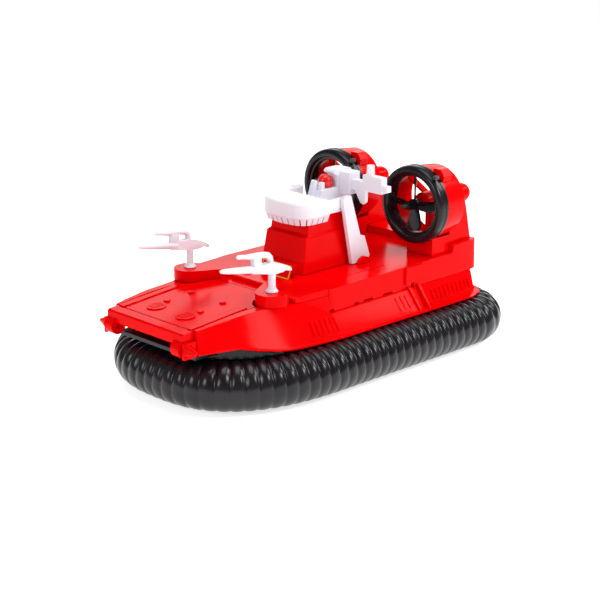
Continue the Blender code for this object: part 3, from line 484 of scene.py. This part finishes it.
# Hub and spinner of a fan, as (radius, distance ahead of the fan's centre).
SPINNER_SECTION = (
    (0.0, -4.4),
    (4.8, -4.4),
    (5.4, -3.4),
    (5.5, 1.4),
    (5.1, 1.6),
    (5.1, 2.2),
    (5.5, 2.4),
    (5.4, 3.0),
    (5.0, 6.0),
    (4.2, 10.5),
    (3.4, 14.0),
    (2.4, 17.5),
    (1.5, 20.0),
    (0.7, 20.7),
    (0.0, 20.9),
)
BLADES = 4
BLADE_ROOT = 3.5
BLADE_LENGTH = 24.0
BLADE_HALF_WIDTH = 4.0
BLADE_SWELL = 2.6
BLADE_HALF_THICK = 0.95
BLADE_TURN = 60.0
BLADE_TWIST = 28.0
BLADE_STEPS = 24
BLADE_POINTS = 14


def blade_section(share):
    """Section of an upright blade at a share of its length, round at the tip, about the fan's centre."""
    rounding = math.sqrt(min(1.0, (1.0 - share) * 5.5 + 0.34))
    half = (BLADE_HALF_WIDTH + BLADE_SWELL * math.sin(math.pi / 2 * min(1.0, share * 1.4))) * rounding
    turn = math.radians(BLADE_TURN - BLADE_TWIST * share)
    across = Vector((math.sin(turn), math.cos(turn), 0.0))
    thick = Vector((math.cos(turn), -math.sin(turn), 0.0))
    centre = Vector((0.0, 0.0, BLADE_ROOT + BLADE_LENGTH * share))
    section = []
    for along, height in circle(BLADE_POINTS):
        height *= BLADE_HALF_THICK * math.sqrt(max(0.05, 1.0 - 0.6 * along * along))
        section.append(centre + across * half * along + thick * height)
    return section


def make_fan(word):
    """Twisted blades on a hub with a long spinner."""
    bm = bmesh.new()
    centre = AXES[f"fan_spin_{word}"]
    lathe(bm, SPINNER_SECTION, "X", centre, steps=48)
    for blade in range(BLADES):
        turn = Matrix.Rotation(2.0 * math.pi * blade / BLADES, 4, "X")
        rows = []
        for step in range(BLADE_STEPS + 1):
            section = blade_section(step / BLADE_STEPS)
            rows.append([bm.verts.new(centre + turn @ point) for point in section])
        loft(bm, rows)
    add_piece(f"propeller_{word}", bm, BLACK, f"fan_rotor_{word}", (f"fan_{word}",), smooth_angle=40.0)


# Half of a wheel's section, from its bore over the sunk web to its tread, as (radius, distance from its
# middle).
WHEEL_HALF_SECTION = (
    (2.2, 3.9),
    (4.2, 3.9),
    (4.4, 2.6),
    (7.8, 2.6),
    (8.2, 3.9),
    (9.4, 3.9),
    (10.2, 3.2),
    (10.5, 2.0),
)
WHEEL_Y = 52.0


def make_wheels():
    """Small hard wheels with a rounded tread, a sunk web and a hub."""
    profile = [(radius, -height) for radius, height in WHEEL_HALF_SECTION]
    profile += WHEEL_HALF_SECTION[::-1]
    for end in ENDS:
        for side, word in SIDES:
            centre = AXES[f"{end}_axle_spin"] + Vector((0.0, side * WHEEL_Y, 0.0))
            bm = bmesh.new()
            lathe(bm, profile, "Y", centre, steps=56)
            add_piece(f"tyre_{end}_{word}", bm, BLACK, f"{end}_axle", (f"wheel_{end}_{word}",))


# Beacon: section of its foot and collar as (radius, height), then a dome on them.
BEACON_X = -34.0
BEACON_FOOT = (
    (0.0, 169.35),
    (7.5, 169.35),
    (7.5, 170.6),
    (7.0, 170.9),
    (7.0, 171.3),
    (7.2, 171.5),
    (7.2, 174.3),
)
DOME_RADIUS = 7.2
DOME_RISE = 7.3
DOME_FOOT_Z = 174.5


def make_beacon():
    """Domed red lamp with a collar."""
    profile = list(BEACON_FOOT)
    for cosine, sine in arc((0.0, 0.0), 1.0, 0, 90, 11):
        profile.append((DOME_RADIUS * cosine, DOME_FOOT_Z + DOME_RISE * sine))
    bm = bmesh.new()
    lathe(bm, profile, "Z", (BEACON_X, 0.0, 0.0), steps=72)
    add_piece("beacon_lens", bm, BEACON, "canopy", ("beacon",), smooth_angle=30.0)


# Sign on the sloping face of the console: its foot and top as (x, z), half of its width and its line's width.
SIGN_FOOT = (36.6, 90.9)
SIGN_TOP = (31.4, 104.0)
SIGN_HALF = 20.0
SIGN_LINE = 1.1
SIGN_INSET = 0.4
PLATE_THICK = 0.7
PLATE_MARGIN = 0.8
LINE_THICK = 0.4


def make_sign():
    """Blank plate on the console with a yellow frame printed round it."""
    rise = Vector((SIGN_TOP[0] - SIGN_FOOT[0], 0.0, SIGN_TOP[1] - SIGN_FOOT[1]))
    tall = rise.length - SIGN_INSET
    middle = Vector((SIGN_FOOT[0], 0.0, SIGN_FOOT[1])) + rise / 2
    place = Matrix.Translation(middle) @ Matrix.Rotation(math.atan2(rise.x, rise.z), 4, "Y")
    plate = bmesh.new()
    block(plate, place, (PLATE_THICK, (SIGN_HALF + PLATE_MARGIN) * 2, tall + PLATE_MARGIN), 0.2)
    add_piece("sign_plate", plate, RED, "hovercraft")
    lines = bmesh.new()
    for side in (-1, 1):
        across = place @ Matrix.Translation((PLATE_THICK / 2, 0.0, side * (tall - SIGN_LINE) / 2))
        block(lines, across, (LINE_THICK, SIGN_HALF * 2, SIGN_LINE), 0.1)
        upright = place @ Matrix.Translation((PLATE_THICK / 2, side * (SIGN_HALF - SIGN_LINE / 2), 0.0))
        block(lines, upright, (LINE_THICK, SIGN_LINE, tall), 0.1)
    add_piece("sign_frame", lines, YELLOW, "hovercraft")


# Water cannon: (x, z, radius) stations of its barrel and of the pipe that bends down into its receiver,
# (x, z) outlines of the receiver and of the link between them, and the post's section as (radius, height).
CANNON_BARREL = (
    (112.0, 125.0, 3.6),
    (122.0, 126.8, 3.5),
    (136.0, 128.9, 3.1),
    (150.0, 131.1, 2.5),
    (155.0, 131.9, 2.1),
    (157.4, 132.3, 1.5),
    (158.2, 132.4, 0.7),
)
CANNON_PIPE = (
    (137.7, 141.7, 0.8),
    (137.2, 141.6, 1.6),
    (135.6, 141.3, 2.1),
    (133.0, 140.9, 2.1),
    (128.0, 140.0, 2.1),
    (122.0, 139.0, 2.7),
    (113.0, 138.3, 3.0),
    (103.5, 137.2, 3.0),
    (99.6, 136.0, 3.0),
    (97.3, 133.6, 3.0),
    (96.6, 130.0, 3.0),
    (96.6, 124.0, 3.1),
)
CANNON_RECEIVER = (
    (121.0, 122.8),
    (121.0, 129.0),
    (110.0, 129.0),
    (98.0, 129.4),
    (88.0, 126.8),
    (79.4, 123.4),
    (74.5, 121.0),
    (71.5, 118.8),
    (71.0, 116.4),
    (74.0, 116.2),
    (79.6, 119.4),
    (81.4, 117.0),
    (92.0, 117.2),
    (101.3, 118.8),
)
CANNON_LINK = (
    (109.6, 127.0),
    (119.0, 127.6),
    (119.0, 139.0),
    (109.6, 138.2),
)
CANNON_POST = (
    (0.2, 122.0),
    (3.5, 122.0),
    (3.5, 106.0),
    (3.8, 104.2),
    (4.6, 102.6),
    (5.6, 101.6),
    (5.9, 101.0),
    (5.9, 100.5),
    (0.2, 100.5),
)
RECEIVER_HALF = 3.0
LINK_HALF = 2.9
CANNON_ROUNDING = 0.8


def make_cannon(word):
    """Water cannon: tapered barrel, bent pipe over it, receiver with a notched tail, and a flared post."""
    pivot = AXES[f"cannon_swivel_{word}"]
    bm = bmesh.new()
    tube(bm, CANNON_BARREL, pivot.y)
    tube(bm, CANNON_PIPE, pivot.y)
    slab(bm, CANNON_RECEIVER, pivot.y - RECEIVER_HALF, pivot.y + RECEIVER_HALF, CANNON_ROUNDING)
    slab(bm, CANNON_LINK, pivot.y - LINK_HALF, pivot.y + LINK_HALF, CANNON_ROUNDING)
    lathe(bm, CANNON_POST, "Z", (pivot.x, pivot.y, 0.0), steps=40)
    add_piece(f"cannon_{word}", bm, WHITE, f"cannon_{word}", (f"water_cannon_{word}",), smooth_angle=45.0)


# Camera: place, line of sight, and the lens for a 36 mm sensor.
CAMERA_PLACE = (1.0147, 1.0245, 0.5128)
CAMERA_FORWARD = (-0.6708, -0.6779, -0.3007)
CAMERA_LENS = 90.66
SENSOR_WIDTH = 36.0


def make_camera():
    """Level camera along the line of sight."""
    forward = Vector(CAMERA_FORWARD).normalized()
    right = forward.cross(Vector((0.0, 0.0, 1.0))).normalized()
    up = right.cross(forward)
    data = bpy.data.cameras.new("camera")
    data.lens = CAMERA_LENS
    data.sensor_width = SENSOR_WIDTH
    data.sensor_fit = "HORIZONTAL"
    data.clip_start = 0.05
    camera = bpy.data.objects.new("camera", data)
    turn = Matrix((right, up, -forward)).transposed().to_4x4()
    camera.matrix_world = Matrix.Translation(CAMERA_PLACE) @ turn
    scene.collection.objects.link(camera)
    scene.camera = camera


# Softboxes: name, place, target, width and height, and power in watts.
LIGHTS = (
    ("top_box", (-0.1, 0.1, 1.5), (0.0, 0.0, 0.08), (1.0, 1.0), 10.0),
    ("back_box", (-1.5, -1.5, 0.95), (0.0, 0.0, 0.08), (2.6, 0.9), 14.0),
    ("side_box", (-0.45, 1.22, 1.02), (0.12, 0.08, 0.06), (0.45, 0.40), 9.0),
    ("stern_box", (-1.25, 0.70, 1.10), (0.0, 0.1, 0.04), (0.6, 0.5), 8.0),
    ("bow_box", (1.7, 0.1, 0.9), (0.05, 0.0, 0.08), (0.6, 0.6), 8.5),
)
WHITE_LIGHT = (1.0, 1.0, 1.0, 1.0)
SKY_STRENGTH = 0.30
FLOOR_HALF = 30.0
FLOOR_GLOW = 0.7


def make_floor():
    """Pale floor with a glow of its own, so that it stays white away from the lights."""
    bm = bmesh.new()
    bmesh.ops.create_grid(bm, x_segments=1, y_segments=1, size=FLOOR_HALF)
    mesh = bpy.data.meshes.new("floor")
    bm.to_mesh(mesh)
    bm.free()
    nodes = Nodes("floor", (0.93, 0.93, 0.935), roughness=0.7)
    nodes.set_value("Emission Color", WHITE_LIGHT)
    nodes.set_value("Emission Strength", FLOOR_GLOW)
    mesh.materials.append(nodes.material)
    floor = bpy.data.objects.new("floor", mesh)
    scene.collection.objects.link(floor)


def make_sky():
    """Even, soft white light from all round."""
    world = bpy.data.worlds.new("sky")
    world.use_nodes = True
    background = world.node_tree.nodes["Background"]
    background.inputs["Color"].default_value = WHITE_LIGHT
    background.inputs["Strength"].default_value = SKY_STRENGTH
    scene.world = world
    scene.view_settings.view_transform = "Standard"


def make_light(name, place, target, size, power):
    """A rectangular softbox that points at its target."""
    data = bpy.data.lights.new(name, "AREA")
    data.shape = "RECTANGLE"
    data.size, data.size_y = size
    data.energy = power
    light = bpy.data.objects.new(name, data)
    light.location = place
    light.rotation_euler = (Vector(target) - Vector(place)).to_track_quat("-Z", "Y").to_euler()
    scene.collection.objects.link(light)


def main():
    paint_underside()
    make_mouldings()
    make_skirt()
    make_wheels()
    for _, word in SIDES:
        make_ring(word)
        make_fan(word)
        make_cannon(word)
    make_beacon()
    make_sign()
    make_camera()
    make_floor()
    make_sky()
    for light in LIGHTS:
        make_light(*light)


main()
